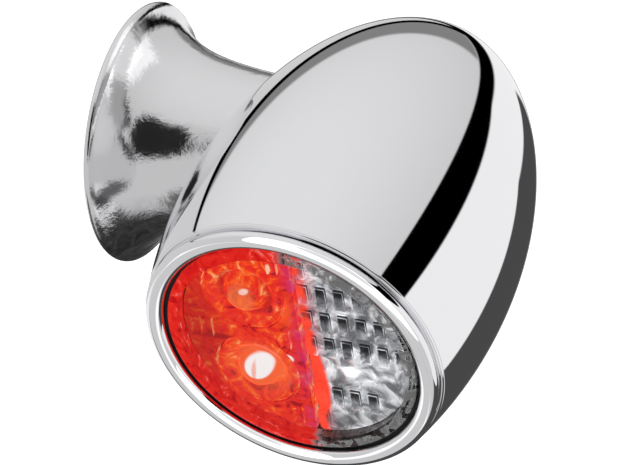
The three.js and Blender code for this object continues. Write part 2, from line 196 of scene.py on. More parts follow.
# The soft box is brightest near its middle.
BOX_MIDDLE = (-0.35, 0.35, 0.87)
falloff = add_node(sky, "ShaderNodeVectorMath", {0: direction, 1: BOX_MIDDLE}, operation="DOT_PRODUCT")
box_tone = add_node(
    sky,
    "ShaderNodeMapRange",
    {
        "Value": falloff.outputs["Value"],
        "From Min": 0.1,
        "From Max": 0.95,
        "To Min": grey("#CDCDD0"),
        "To Max": grey("#E8E8EA"),
    },
).outputs["Result"]


def cone(middle, outer, inner):
    """1 inside a cone of directions and 0 outside; the limits are cosines of its half angle."""
    along = Vector(middle).normalized()
    reach = add_node(sky, "ShaderNodeVectorMath", {0: direction, 1: along}, operation="DOT_PRODUCT")
    return add_node(
        sky,
        "ShaderNodeMapRange",
        {"Value": reach.outputs["Value"], "From Min": outer, "From Max": inner},
        interpolation_type="SMOOTHSTEP",
    ).outputs["Result"]


# Round patches: the paper behind the light, the open front of the room, the dark behind the camera,
# and the shade that the lens mirrors, which keeps its colours clear.
far_side = cone((-0.358, 0.666, -0.654), 0.965, 0.99)
open_front = cone((0, -1, 0), 0.40, 0.52)
camera_shade = cone((0.30, -0.76, 0.58), 0.90, 0.925)
lens_shade = cone((-0.36, -0.66, -0.66), 0.90, 0.955)

ROOM = grey("#D4D4D6")
tone = lay_over(ROOM, BLACK_CARD, below_box)
tone = lay_over(tone, box_tone, both(box_side, over_line))
tone = lay_over(tone, GREY_CARD, grey_card)
tone = lay_over(tone, BLACK_CARD, line_card)
tone = lay_over(tone, WHITE_CARD, white_card)
tone = lay_over(tone, DARK_FLOOR, dark_floor)
FAR_PAPER = grey("#8A8A8C")
OPEN_FRONT = grey("#D2D2D4")
CAMERA_SHADE = 0.02
LENS_SHADE = 0.14
tone = lay_over(tone, FAR_PAPER, far_side)
tone = lay_over(tone, OPEN_FRONT, open_front)
tone = lay_over(tone, CAMERA_SHADE, camera_shade)
tone = lay_over(tone, LENS_SHADE, lens_shade)

lit_room = add_node(sky, "ShaderNodeBackground", {"Color": tone, "Strength": 1.0})
backdrop = add_node(sky, "ShaderNodeBackground", {"Color": (1, 1, 1, 1), "Strength": 1.0})
seen = add_node(sky, "ShaderNodeLightPath").outputs["Is Camera Ray"]
mixed = add_node(sky, "ShaderNodeMixShader", {0: seen, 1: lit_room.outputs[0], 2: backdrop.outputs[0]})
add_node(sky, "ShaderNodeOutputWorld", {"Surface": mixed.outputs[0]})


def material(name):
    made = bpy.data.materials.new(name)
    made.use_nodes = True
    made.node_tree.nodes.clear()
    return made, made.node_tree


def finish(tree, surface):
    """Ends a material with one surface of these values."""
    shader = add_node(tree, "ShaderNodeBsdfPrincipled", surface)
    add_node(tree, "ShaderNodeOutputMaterial", {"Surface": shader.outputs[0]})
    return shader


# The paper is seen past the light, but chrome and lens mirror only the room.
FLOOR_DROP = 60 * MM
floor_z = cad_low[2] - FLOOR_DROP
bpy.ops.object.select_all(action="DESELECT")
bpy.ops.mesh.primitive_plane_add(size=6.0, location=(head_x, 0, floor_z))
floor = bpy.context.object
floor.name = "studio_floor"
floor.visible_glossy = False
floor.visible_transmission = False
paper, tree = material("white paper sweep")
finish(
    tree,
    {
        "Base Color": linear("#F4F4F4"),
        "Roughness": 0.9,
        "Emission Color": (1, 1, 1, 1),
        "Emission Strength": 0.7,
    },
)
floor.data.materials.append(paper)

# ---------------------------------------------------------------------------------------------
# Housing: one hollow zinc die casting in the shape of a bullet, ground, polished and chromed.
# The outline is widest a third of the way back and draws in to a rounded nose.

ring_radius = (ring_high[0] - ring_low[0]) / 2
body_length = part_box("housing_shell")[1][1] - ring_y
BODY_RADIUS = 21.45 * MM
WIDEST_DEPTH = 18.2 * MM
NOSE_SHAPE = 0.1
WALL = 2.0 * MM
BODY_FRONT = 0.95 * MM
ROUND_STEPS = 192
front_curve = (1 - (ring_radius / BODY_RADIUS) ** 2) / WIDEST_DEPTH**2


def body_radius(depth):
    """The housing's radius at a depth behind the lens ring."""
    ahead = depth - WIDEST_DEPTH
    if ahead < 0:
        return BODY_RADIUS * math.sqrt(1 - front_curve * ahead**2)
    share = (ahead / (body_length - WIDEST_DEPTH)) ** 2
    return BODY_RADIUS * math.sqrt(max(0.0, (1 - share) * (1 - NOSE_SHAPE * share)))


def arc(centre, radius, start, stop, steps):
    """Points on an arc, as (radius, depth), angles in degrees from the outward direction."""
    angles = [math.radians(start + (stop - start) * i / steps) for i in range(steps + 1)]
    return [(centre[0] + radius * math.cos(a), centre[1] + radius * math.sin(a)) for a in angles]


def spin_outline(name, outline, along, steps=ROUND_STEPS, middle=(0.0, 0.0)):
    """Turns an outline of (radius, distance) about a line along X or Y, like work in a lathe."""
    bpy.ops.object.select_all(action="DESELECT")
    bpy.ops.mesh.primitive_plane_add(size=MM)
    made = bpy.context.object
    made.name = name
    made.data.name = name
    bpy.ops.object.mode_set(mode="EDIT")
    bpy.ops.mesh.merge(type="CENTER")
    if along == "Y":
        spots = [Vector((middle[0] + r, d, middle[1])) for r, d in outline]
        centre, axis = (middle[0], 0, middle[1]), (0, 1, 0)
    else:
        spots = [Vector((d, middle[0], middle[1] + r)) for r, d in outline]
        centre, axis = (0, middle[0], middle[1]), (1, 0, 0)
    bpy.ops.transform.translate(value=spots[0])
    for here, there in zip(spots, spots[1:]):
        bpy.ops.mesh.extrude_region_move(TRANSFORM_OT_translate={"value": there - here})
    bpy.ops.mesh.select_all(action="SELECT")
    bpy.ops.mesh.spin(steps=steps, angle=math.tau, center=centre, axis=axis)
    bpy.ops.mesh.select_all(action="SELECT")
    bpy.ops.mesh.remove_doubles(threshold=1e-6)
    bpy.ops.mesh.normals_make_consistent(inside=False)
    bpy.ops.object.mode_set(mode="OBJECT")
    bpy.ops.object.shade_smooth_by_angle(angle=math.radians(35))
    return made


def head_spin(name, outline, steps=ROUND_STEPS, x=0.0, z=0.0):
    """The same for a piece in the housing, with depths counted back from the lens ring."""
    placed = [(r, ring_y + d) for r, d in outline]
    return spin_outline(name, placed, "Y", steps, (head_x + x, z))


def body_outline(first, last, offset, steps):
    """The housing's outline between two depths, moved in or out, closer spaced towards the nose."""
    points = []
    for i in range(steps + 1):
        depth = first + (last - first) * math.sin(math.pi / 2 * i / steps)
        slope = (body_radius(depth + 1e-6) - body_radius(depth - 1e-6)) / 2e-6
        length = math.hypot(1, slope)
        points.append((max(0.0, body_radius(depth) + offset / length), depth - offset * slope / length))
    return points


LIP = 0.3 * MM
MOUTH_DEPTH = 6.0 * MM
MOUTH_RADIUS = 18.0 * MM
NOSE_END = 0.02 * MM
outside = body_outline(BODY_FRONT + LIP, body_length - NOSE_END, 0.0, 90)
inside = body_outline(6.5 * MM, body_length - 2.2 * MM, -WALL, 40)
front_lip = arc((body_radius(BODY_FRONT) - LIP, BODY_FRONT + LIP), LIP, -90, -8, 5)
housing = head_spin(
    "housing",
    [(0, body_length), *reversed(outside), *reversed(front_lip)]
    + [(MOUTH_RADIUS, BODY_FRONT), (MOUTH_RADIUS, MOUTH_DEPTH), *inside, (0, body_length - WALL)],
)
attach(housing, "root")
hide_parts("housing_shell")

# Bright nickel-chrome plate: a metal with no colour of its own and hardly any roughness. The plate
# levels out, so only a very slow waviness of the polishing is left.
CHROME_TINT = "#F2F2F4"
chrome, tree = material("bright chrome plate on die-cast zinc")
coordinates = add_node(tree, "ShaderNodeTexCoord").outputs["Object"]
waviness = add_node(
    tree,
    "ShaderNodeTexNoise",
    {"Vector": coordinates, "Scale": 1 / (14 * MM), "Detail": 1.0},
)
haze = add_node(
    tree,
    "ShaderNodeTexNoise",
    {"Vector": coordinates, "Scale": 1 / (0.6 * MM), "Detail": 3.0},
)
sheen = add_node(
    tree,
    "ShaderNodeMapRange",
    {"Value": haze.outputs["Fac"], "To Min": 0.02, "To Max": 0.05},
)
bumped = add_node(
    tree,
    "ShaderNodeBump",
    {"Height": waviness.outputs["Fac"], "Strength": 0.05, "Distance": 0.02 * MM},
)
finish(
    tree,
    {
        "Base Color": linear(CHROME_TINT),
        "Metallic": 1.0,
        "Roughness": sheen.outputs["Result"],
        "Normal": bumped.outputs["Normal"],
    },
)
housing.data.materials.append(chrome)

# ---------------------------------------------------------------------------------------------
# Foot and stem: a second die casting, a trumpet that spreads to the round foot. It is chromed over
# a coarser polish than the housing, and its end is shaped to sit on the housing with a tight crease.

FOOT_RADIUS = 17.25 * MM
NECK_RADIUS = 8.95 * MM
FLARE_LENGTH = 8.0 * MM
FLARE_POWER = 1.7
FOOT_LIP = 1.0 * MM
LIP_ROUND = 0.55 * MM
SOCKET_HOLE = 5.55 * MM


def lay_patch(tree, colour, patch, other):
    """The colour of a surface with a patch of another colour on it."""
    return add_node(
        tree, "ShaderNodeMix", {"Factor": patch, 6: colour, 7: other}, data_type="RGBA"
    ).outputs[2]


def trumpet_radius(x):
    return NECK_RADIUS + (FOOT_RADIUS - NECK_RADIUS) * (1 + (x - FOOT_LIP) / FLARE_LENGTH) ** -FLARE_POWER


# The neck runs on into the housing, where it is cut to fit. Points stand closer together at the foot.
neck_end = head_x - 11.5 * MM
FLARE_STEPS = 60
CLOSER_AT_FOOT = 1.6
flare_start = FOOT_LIP + 0.35 * MM
flare = []
for i in range(1, FLARE_STEPS + 1):
    x = flare_start + (neck_end - flare_start) * (i / FLARE_STEPS) ** CLOSER_AT_FOOT
    flare.append((trumpet_radius(x), x))
edge = arc((FOOT_RADIUS - LIP_ROUND, LIP_ROUND), LIP_ROUND, -90, 40, 8)
HUB_RADIUS = 7.4 * MM
RECESS_RADIUS = FOOT_RADIUS - LIP_ROUND - 3.6 * MM
RECESS_DEPTH = 1.6 * MM
stem = spin_outline(
    "foot_and_stem",
    [(SOCKET_HOLE, 0), (HUB_RADIUS, 0), (HUB_RADIUS, RECESS_DEPTH)]
    + [(RECESS_RADIUS, RECESS_DEPTH), (RECESS_RADIUS, 0)]
    + [*edge, *flare, (SOCKET_HOLE, neck_end), (SOCKET_HOLE, 0)],
    "X",
    160,
)
SEAT_DEPTH = 0.3 * MM
seat = body_outline(SEAT_DEPTH, body_length - SEAT_DEPTH - 0.05 * MM, -SEAT_DEPTH, 70)
cutter = head_spin(
    "housing_cutter",
    [(0, body_length - SEAT_DEPTH), *reversed(seat), (0, SEAT_DEPTH)],
    160,
)
bpy.ops.object.select_all(action="DESELECT")
stem.select_set(True)
bpy.context.view_layer.objects.active = stem
shaping = stem.modifiers.new("sit_on_housing", "BOOLEAN")
shaping.operation = "DIFFERENCE"
shaping.solver = "EXACT"
shaping.object = cutter
bpy.ops.object.modifier_apply(modifier="sit_on_housing")
bpy.data.objects.remove(cutter, do_unlink=True)
bpy.ops.object.shade_smooth_by_angle(angle=math.radians(35))
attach(stem, "root")
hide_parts("foot_stem")

# The same plate over a casting that was only vibratory-ground: the bright surface keeps a fine orange peel,
# which breaks up the edges of what it mirrors. Its lower side was ground less and is coarser. Its colour is
# painted darker in blotches towards the lower side: painted shade that dims what the chrome mirrors there.
satin_chrome, tree = material("chrome plate over a tumbled zinc casting")
coordinates = add_node(tree, "ShaderNodeTexCoord").outputs["Object"]
PEEL_SIZE = 0.55 * MM
SWELL_SIZE = 5 * MM
SWELL_HEIGHT = 6.0
peel = add_node(
    tree,
    "ShaderNodeTexNoise",
    {"Vector": coordinates, "Scale": 1 / PEEL_SIZE, "Detail": 4.0, "Roughness": 0.6},
).outputs["Fac"]
swell = add_node(
    tree, "ShaderNodeTexNoise", {"Vector": coordinates, "Scale": 1 / SWELL_SIZE, "Detail": 2.0}
).outputs["Fac"]
relief = maths(tree, "MULTIPLY_ADD", swell, SWELL_HEIGHT, peel)
height = add_node(tree, "ShaderNodeSeparateXYZ", {"Vector": coordinates}).outputs["Z"]
rougher = add_node(
    tree,
    "ShaderNodeMapRange",
    {"Value": height, "From Min": 2 * MM, "From Max": -7 * MM, "To Min": 0.35, "To Max": 1.0},
).outputs["Result"]
ground = add_node(
    tree,
    "ShaderNodeBump",
    {"Height": relief, "Strength": rougher, "Distance": 0.07 * MM},
)
polish = add_node(
    tree, "ShaderNodeMapRange", {"Value": swell, "To Min": 0.05, "To Max": 0.14}
)
# Painted shade: the plate's colour goes grey in blotches towards the lower side.
BLOTCH_SIZE = 2.2 * MM
blotches = add_node(
    tree,
    "ShaderNodeTexNoise",
    {"Vector": coordinates, "Scale": 1 / BLOTCH_SIZE, "Detail": 5.0, "Roughness": 0.7, "Distortion": 0.8},
).outputs["Fac"]
shaded_lower_side = add_node(
    tree, "ShaderNodeMapRange", {"Value": height, "From Min": 1 * MM, "From Max": -6 * MM}
).outputs["Result"]
painted_shade_blotches = add_node(
    tree, "ShaderNodeMapRange", {"Value": blotches, "From Min": 0.35, "From Max": 0.6, "To Min": 0.3}
).outputs["Result"]
painted_shade_blotches = maths(tree, "MULTIPLY", painted_shade_blotches, shaded_lower_side)
plate_tone_with_painted_shade = lay_patch(tree, linear("#E9E8EA"), painted_shade_blotches, linear("#858488"))
finish(
    tree,
    {
        "Base Color": plate_tone_with_painted_shade,
        "Metallic": 1.0,
        "Roughness": polish.outputs["Result"],
        "Normal": ground.outputs["Normal"],
    },
)
stem.data.materials.append(satin_chrome)

# ---------------------------------------------------------------------------------------------
# Lens ring: turned brass, polished and chromed. A round bead in front and a thin skirt that is
# pressed into the housing's mouth.

SKIRT_INNER = 17.2 * MM
SKIRT_OUTER = 17.85 * MM
SKIRT_DEPTH = 4.6 * MM
BEAD_HALF_WIDTH = 1.15 * MM
BEAD_REAR = 0.75 * MM
SKIRT_FRONT = 0.45 * MM
bead_middle = ring_radius - BEAD_HALF_WIDTH
bead = [
    (bead_middle + x * BEAD_HALF_WIDTH / BEAD_RADIUS, depth)
    for x, depth in arc((0, 0), BEAD_RADIUS, -190, 45, 32)
]
bezel = head_spin(
    "lens_ring",
    [(SKIRT_OUTER, SKIRT_DEPTH), (SKIRT_INNER, SKIRT_DEPTH), (SKIRT_INNER, SKIRT_FRONT)]
    + [*bead, (SKIRT_OUTER, BEAD_REAR), (SKIRT_OUTER, SKIRT_DEPTH)],
)
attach(bezel, "root")
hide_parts("bezel_ring")
bezel.data.materials.append(chrome)


def hang_light(name, size, place, radiance, *receivers):
    """A square soft light aimed at the housing that only some pieces mirror."""
    lamp = bpy.data.lights.new(name, "AREA")
    lamp.shape = "SQUARE"
    lamp.size = size
    lamp.energy = radiance * math.pi * size * size
    hung = bpy.data.objects.new(name, lamp)
    hung.location = place
    hung.rotation_euler = (Vector(place) - Vector((head_x, 0, 0))).to_track_quat("Z", "Y").to_euler()
    hung.visible_camera = False
    bpy.context.scene.collection.objects.link(hung)
    lit = bpy.data.collections.new(name + "_pieces")
    for piece in receivers:
        lit.objects.link(piece)
    hung.light_linking.receiver_collection = lit
    return hung


# Two soft lights that brighten the foot, and two that the ring mirrors, from in front and below.
hang_light("flare_light", 0.42, (0.42, 0.30, 0.26), 0.4, stem)
hang_light("low_fill", 0.9, (0.60, 0.10, 0.0), 0.4, stem)
hang_light("ring_fill", 0.80, (0.12, -0.42, 0.16), 0.8, bezel)
hang_light("low_ring_fill", 0.11, (0.0, -0.10, -0.062), 0.5, bezel)

# ---------------------------------------------------------------------------------------------
# Lens: one clear polycarbonate moulding, slightly domed, with a short wall that sits on the gasket.
# It is glued into the ring.

LENS_RADIUS = 16.2 * MM
LENS_CROWN = 1.3 * MM
LENS_THICKNESS = 2.0 * MM
LENS_WALL_INNER = 14.85 * MM
LENS_WALL_DEPTH = 3.0 * MM


def dome(rim, rim_depth, crown_depth, steps):
    """A shallow dome's outline from its middle to its rim."""
    shares = [i / steps for i in range(steps + 1)]
    return [(rim * share, crown_depth + (rim_depth - crown_depth) * share**2) for share in shares]


LENS_EDGE = 0.25 * MM
lens_edge = arc((LENS_RADIUS - LENS_EDGE, LENS_EDGE), LENS_EDGE, -80, 0, 6)
inner_dome = dome(LENS_WALL_INNER, LENS_THICKNESS - 0.2 * MM, LENS_THICKNESS - LENS_CROWN, 24)
lens = head_spin(
    "clear_lens",
    [*dome(LENS_RADIUS - LENS_EDGE, 0.0, -LENS_CROWN, 30), *lens_edge]
    + [(LENS_RADIUS, LENS_WALL_DEPTH), (LENS_WALL_INNER, LENS_WALL_DEPTH), *reversed(inner_dome)],
)
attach(lens, "root")
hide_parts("lens")

# The seam between the tail half and the signal half, a little to the signal side of the middle.
SPLIT_X = 1.1 * MM
split_x = head_x + SPLIT_X


def light_scale(tree, level, stops):
    """The colour of the lamp's light at a level, through stops of (level, colour)."""
    scale = add_node(tree, "ShaderNodeValToRGB", {"Fac": level})
    marks = scale.color_ramp.elements
    while len(marks) < len(stops):
        marks.new(0.5)
    for mark, (at, colour) in zip(marks, stops):
        mark.position = at
        mark.color = linear(colour)
    return scale.outputs["Color"]


# Polished polycarbonate: clear, with the sharp faint reflection of a glossy plastic. Its wall pipes red
# light round from the tail lamp, so there it looks red and solid, and on the signal side the wall is made
# opaque and near-black in specks.
clear, tree = material("polished clear polycarbonate")
coordinates = add_node(tree, "ShaderNodeTexCoord").outputs["Object"]
parts = add_node(tree, "ShaderNodeSeparateXYZ", {"Vector": coordinates})
tail_side = add_node(
    tree,
    "ShaderNodeMapRange",
    {"Value": parts.outputs["X"], "From Min": split_x + 0.6 * MM, "From Max": split_x - 0.9 * MM},
    interpolation_type="SMOOTHSTEP",
).outputs["Result"]
across = maths(tree, "SUBTRACT", parts.outputs["X"], head_x)
flat = add_node(tree, "ShaderNodeCombineXYZ", {"X": across, "Y": parts.outputs["Z"]}).outputs[0]
radius = add_node(tree, "ShaderNodeVectorMath", {0: flat}, operation="LENGTH").outputs["Value"]
at_wall = add_node(
    tree,
    "ShaderNodeMapRange",
    {"Value": radius, "From Min": 14.75 * MM, "From Max": 14.84 * MM},
    interpolation_type="SMOOTHSTEP",
).outputs["Result"]
streaks = add_node(
    tree,
    "ShaderNodeTexNoise",
    {"Vector": coordinates, "Scale": 1 / (2.6 * MM), "Detail": 4.0, "Roughness": 0.6, "Distortion": 1.6},
).outputs["Fac"]
wall_stops = [(0.3, "#8E0C10"), (0.42, "#D81A1A"), (0.6, "#F03222"), (1.0, "#FFFFFF")]
piped = light_scale(tree, streaks, wall_stops)
side_level = add_node(
    tree, "ShaderNodeMapRange", {"Value": tail_side, "To Min": 0.0, "To Max": 0.82}
).outputs["Result"]
glow = maths(tree, "MULTIPLY", side_level, at_wall)
glow_colour = lay_patch(tree, linear("#C4C6C8"), tail_side, piped)
speckle = add_node(
    tree, "ShaderNodeMapRange", {"Value": streaks, "From Min": 0.44, "From Max": 0.54, "To Max": 0.8}
).outputs["Result"]
solid = maths(tree, "MAXIMUM", tail_side, speckle)
solid_wall = maths(tree, "MULTIPLY", solid, at_wall)
see_through = maths(tree, "SUBTRACT", 1.0, solid_wall)
wall_dark_colour = lay_patch(tree, linear("#101113"), tail_side, linear("#5A0508"))
tint_reach = add_node(
    tree, "ShaderNodeMapRange", {"Value": tail_side, "To Min": 1.0, "To Max": 8.0}
).outputs["Result"]
tinted = maths(tree, "MULTIPLY", solid_wall, tint_reach, use_clamp=True)
wall_tint = lay_patch(tree, (1, 1, 1, 1), tinted, wall_dark_colour)
finish(
    tree,
    {
        "Base Color": wall_tint,
        "Roughness": 0.0,
        "IOR": 1.5,
        "Specular IOR Level": 0.1,
        "Specular Tint": (0.15, 0.15, 0.15, 1),
        "Transmission Weight": see_through,
        "Emission Color": glow_colour,
        "Emission Strength": glow,
    },
)
lens.data.materials.append(clear)

# ---------------------------------------------------------------------------------------------
# Red tail optic: half a disc of clear acrylic over the tail chamber, filled with red light. Its
# front is moulded with facets and a few prisms, and two round windows take the collimators.

OPTIC_RADIUS = 14.7 * MM
PLATE_FRONT = 2.9 * MM
PLATE_BACK = 4.2 * MM
SEAM_GAP = 0.3 * MM
DOME_X = -6.0 * MM
DOME_Z = 6.2 * MM
DOME_RADIUS = 5.2 * MM
FIT_GAP = 0.3 * MM


def half_disc(name, front, rear, edge_x, sign):
    """A disc cut straight along the seam; sign says which side of the edge is kept."""
    bpy.ops.object.select_all(action="DESELECT")
    bpy.ops.mesh.primitive_cylinder_add(
        vertices=160,
        radius=OPTIC_RADIUS,
        depth=rear - front,
        location=(head_x, ring_y + (front + rear) / 2, 0),
        rotation=(math.pi / 2, 0, 0),
    )
    made = bpy.context.object
    made.name = name
    bpy.ops.object.transform_apply(location=True, rotation=True, scale=True)
    bpy.ops.object.mode_set(mode="EDIT")
    bpy.ops.mesh.select_all(action="SELECT")
    bpy.ops.mesh.bisect(
        plane_co=(head_x + edge_x, 0, 0),
        plane_no=(sign, 0, 0),
        use_fill=True,
        clear_inner=True,
    )
    bpy.ops.object.mode_set(mode="OBJECT")
    return made


def cut_away(piece, tool):
    """Cuts one piece with another, then removes the tool."""
    bpy.ops.object.select_all(action="DESELECT")
    piece.select_set(True)
    bpy.context.view_layer.objects.active = piece
    cut = piece.modifiers.new("cut", "BOOLEAN")
    cut.operation = "DIFFERENCE"
    cut.solver = "EXACT"
    cut.object = tool
    bpy.ops.object.modifier_apply(modifier="cut")
    bpy.data.objects.remove(tool, do_unlink=True)


tail_plate = half_disc("tail_optic_plate", PLATE_FRONT, PLATE_BACK, SPLIT_X - 2 * SEAM_GAP, -1)
window_radius = DOME_RADIUS + FIT_GAP
past_front = PLATE_FRONT - 0.9 * MM
past_back = PLATE_BACK + 1.3 * MM
window = [(0, past_front), (window_radius, past_front), (window_radius, past_back), (0, past_back)]
for side in (1, -1):
    cut_away(tail_plate, head_spin("window_cutter", window, 96, DOME_X, side * DOME_Z))

# The pocket-shaped prism that both plates repeat: a small block with a sunk, framed front.
PRISM_WIDTH = 1.3 * MM
PRISM_HEIGHT = 2.9 * MM
PRISM_DEPTH = 0.55 * MM
PITCH_X = 2.3 * MM
PITCH_Z = 4.1 * MM
COLUMNS = 6
ROWS = 7
FRAME_WIDTH = 0.22 * MM
POCKET_FLOOR = 0.12 * MM
PRISM_EDGE = 0.06 * MM

bpy.ops.object.select_all(action="DESELECT")
bpy.ops.mesh.primitive_cube_add(size=1.0, location=(0, ring_y + PLATE_FRONT, 0))
prism = bpy.context.object
prism.scale = (PRISM_WIDTH, 2 * PRISM_DEPTH, PRISM_HEIGHT)
bpy.ops.object.transform_apply(location=False, rotation=False, scale=True)
bpy.ops.object.mode_set(mode="EDIT")
bpy.ops.mesh.select_all(action="DESELECT")
bpy.ops.object.mode_set(mode="OBJECT")
for face in prism.data.polygons:
    face.select = face.normal.y < -0.5
bpy.ops.object.mode_set(mode="EDIT")
bpy.ops.mesh.select_mode(type="FACE")
bpy.ops.mesh.inset(thickness=FRAME_WIDTH, depth=0)
bpy.ops.transform.translate(value=(0, PRISM_DEPTH - POCKET_FLOOR, 0))
bpy.ops.mesh.select_all(action="SELECT")
bpy.ops.mesh.bevel(offset=PRISM_EDGE, segments=2, affect="EDGES")
bpy.ops.mesh.select_mode(type="VERT")
bpy.ops.object.mode_set(mode="OBJECT")


def clear_of_domes(x, z):
    """Whether a prism in this place misses both collimators."""
    reach = DOME_RADIUS + 3 * FIT_GAP
    return all(math.hypot(x - DOME_X, z - side * DOME_Z) > reach for side in (1, -1))


def stand_prisms(plate, columns, shift, plain_row):
    """Copies the prism in rows onto a plate and joins the copies to it; one row is left plain."""
    twins = []
    for column in columns:
        for row in range(ROWS):
            if row == plain_row:
                continue
            x = SPLIT_X + shift + column * PITCH_X
            z = (row - (ROWS - 1) / 2) * PITCH_Z
            if math.hypot(abs(x) + PRISM_WIDTH / 2, abs(z) + PRISM_HEIGHT / 2) > OPTIC_RADIUS - FIT_GAP:
                continue
            if not clear_of_domes(x, z):
                continue
            twin = prism.copy()
            twin.data = prism.data.copy()
            twin.location = (head_x + x, ring_y + PLATE_FRONT, z)
            bpy.context.scene.collection.objects.link(twin)
            twins.append(twin)
    bpy.ops.object.select_all(action="DESELECT")
    for twin in twins:
        twin.select_set(True)
    plate.select_set(True)
    bpy.context.view_layer.objects.active = plate
    bpy.ops.object.join()
    bpy.ops.object.transform_apply(location=True, rotation=True, scale=True)
    bpy.ops.object.shade_smooth_by_angle(angle=math.radians(30))


TAIL_COLUMNS = (-1, -5.4, -6.1)
stand_prisms(tail_plate, TAIL_COLUMNS, -0.2 * MM, None)
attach(tail_plate, "root")
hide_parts("tail_optic")

# Clear acrylic with red light in it: the thick places are deep red, the facets that face the LEDs
# flash orange, and the edge along the seam goes pink.
RED_DEEP = "#A20E14"
RED_FULL = "#E6241C"
RED_BRIGHT = "#F2361F"
ORANGE = "#FF6416"
PALE = "#FFB27C"


def red_light(name, flash, lean):
    """Red-lit acrylic; flash is how much orange it shows, and lean how much that turns with the slope."""
    made, tree = material(name)
    coordinates = add_node(tree, "ShaderNodeTexCoord").outputs["Object"]
    across = add_node(tree, "ShaderNodeSeparateXYZ", {"Vector": coordinates}).outputs["X"]
    swirl = add_node(
        tree,
        "ShaderNodeTexNoise",
        {
            "Vector": coordinates,
            "Scale": 1 / (3.4 * MM),
            "Detail": 4.0,
            "Roughness": 0.65,
            "Distortion": 2.2,
        },
    ).outputs["Fac"]
    facet = add_node(
        tree,
        "ShaderNodeTexVoronoi",
        {"Vector": coordinates, "Scale": 1 / (1.9 * MM)},
        feature="F1",
        distance="CHEBYCHEV",
    )
    facet_tone = add_node(tree, "ShaderNodeSeparateColor", {"Color": facet.outputs["Color"]}).outputs["Red"]
    facing = add_node(tree, "ShaderNodeNewGeometry").outputs["Normal"]
    bright_way = Vector((0.35, 0.1, -0.3)) * lean
    slope = add_node(
        tree, "ShaderNodeVectorMath", {0: facing, 1: bright_way}, operation="DOT_PRODUCT"
    ).outputs["Value"]
    swirl = add_node(
        tree,
        "ShaderNodeMapRange",
        {"Value": swirl, "From Min": 0.3, "From Max": 0.7, "To Min": 0.12, "To Max": 0.8},
    ).outputs["Result"]
    level = maths(tree, "MULTIPLY_ADD", facet_tone, 0.22, swirl)
    level = maths(tree, "ADD", slope, level)
    level = maths(tree, "ADD", level, flash)
    stops = [(0.26, RED_DEEP), (0.36, RED_FULL), (0.6, RED_BRIGHT), (0.78, ORANGE), (0.95, PALE)]
    glow = light_scale(tree, level, stops)
    seam = add_node(
        tree,
        "ShaderNodeMapRange",
        {"Value": across, "From Min": split_x - 3.0 * MM, "From Max": split_x},
        interpolation_type="SMOOTHSTEP",
    ).outputs["Result"]
    pink = maths(tree, "MULTIPLY", seam, facet_tone)
    colour = lay_patch(tree, glow, pink, linear("#D22A6A"))
    return made, tree, coordinates, facet, colour


def close_red(tree, colour, bump):
    """The acrylic's surface over its red light."""
    finish(
        tree,
        {
            "Base Color": linear("#5A0508"),
            "Roughness": 0.12,
            "IOR": 1.49,
            "Specular IOR Level": 0.12,
            "Emission Color": colour,
            "Emission Strength": 0.9,
            "Normal": bump.outputs["Normal"],
        },
    )


def spot(tree, coordinates, x, z, wide, high, soft):
    """A soft-edged patch at a place on the lens, 1 in the middle and 0 outside."""
    centred = add_node(
        tree,
        "ShaderNodeMapping",
        {
            "Vector": coordinates,
            "Location": (-(head_x + x) / wide, 0, -z / high),
            "Scale": (1 / wide, 0, 1 / high),
        },
    ).outputs[0]
    away = add_node(tree, "ShaderNodeVectorMath", {0: centred}, operation="LENGTH").outputs["Value"]
    return add_node(
        tree,
        "ShaderNodeMapRange",
        {"Value": away, "From Min": 1 + soft, "From Max": 1 - soft},
        interpolation_type="SMOOTHSTEP",
    ).outputs["Result"]


WHITE_HOT = (1.0, 0.98, 0.97, 1.0)
red_acrylic, tree, coordinates, facet, colour = red_light("clear acrylic lit red, faceted", 0.0, 0.6)
facets = add_node(
    tree, "ShaderNodeBump", {"Height": facet.outputs["Distance"], "Strength": 0.5, "Distance": 0.4 * MM}
)

# Painted glints of the room, a painted orange glow between the domes, painted shade along a crease and on
# the rim side, and a painted dark streak.
painted_heart_glint = spot(tree, coordinates, -1.75 * MM, -3.4 * MM, 0.85 * MM, 0.62 * MM, 0.25)
colour = lay_patch(tree, colour, painted_heart_glint, WHITE_HOT)
top_glint = spot(tree, coordinates, -2.0 * MM, 11.4 * MM, 0.3 * MM, 0.75 * MM, 0.3)
colour = lay_patch(tree, colour, top_glint, linear("#FFC8A8"))
painted_crease_shade = spot(tree, coordinates, -10.5 * MM, -1.6 * MM, 2.6 * MM, 0.5 * MM, 0.7)
colour = lay_patch(tree, colour, painted_crease_shade, linear("#A80D14"))
painted_orange_glow = spot(tree, coordinates, -1.4 * MM, 5.0 * MM, 1.3 * MM, 2.6 * MM, 0.7)
colour = lay_patch(tree, colour, painted_orange_glow, linear("#FF5A1C"))
rim_shade = spot(tree, coordinates, -14.0 * MM, -1.0 * MM, 4.0 * MM, 10.0 * MM, 0.7)
rim_shade = maths(tree, "MULTIPLY", rim_shade, 0.6)
colour = lay_patch(tree, colour, rim_shade, linear("#A81A16"))
# Painted shade: a small dark streak in the red.
painted_dark_streak = spot(tree, coordinates, -10.9 * MM, -4.8 * MM, 0.32 * MM, 1.0 * MM, 0.4)
colour = lay_patch(tree, colour, painted_dark_streak, linear("#6E0A0C"))
close_red(tree, colour, facets)
tail_plate.data.materials.append(red_acrylic)

# ---------------------------------------------------------------------------------------------
# Collimators: two round acrylic mouldings over the tail LEDs. A small dome in the middle
# stands in a ring-shaped hollow, and the cone behind gathers the light.

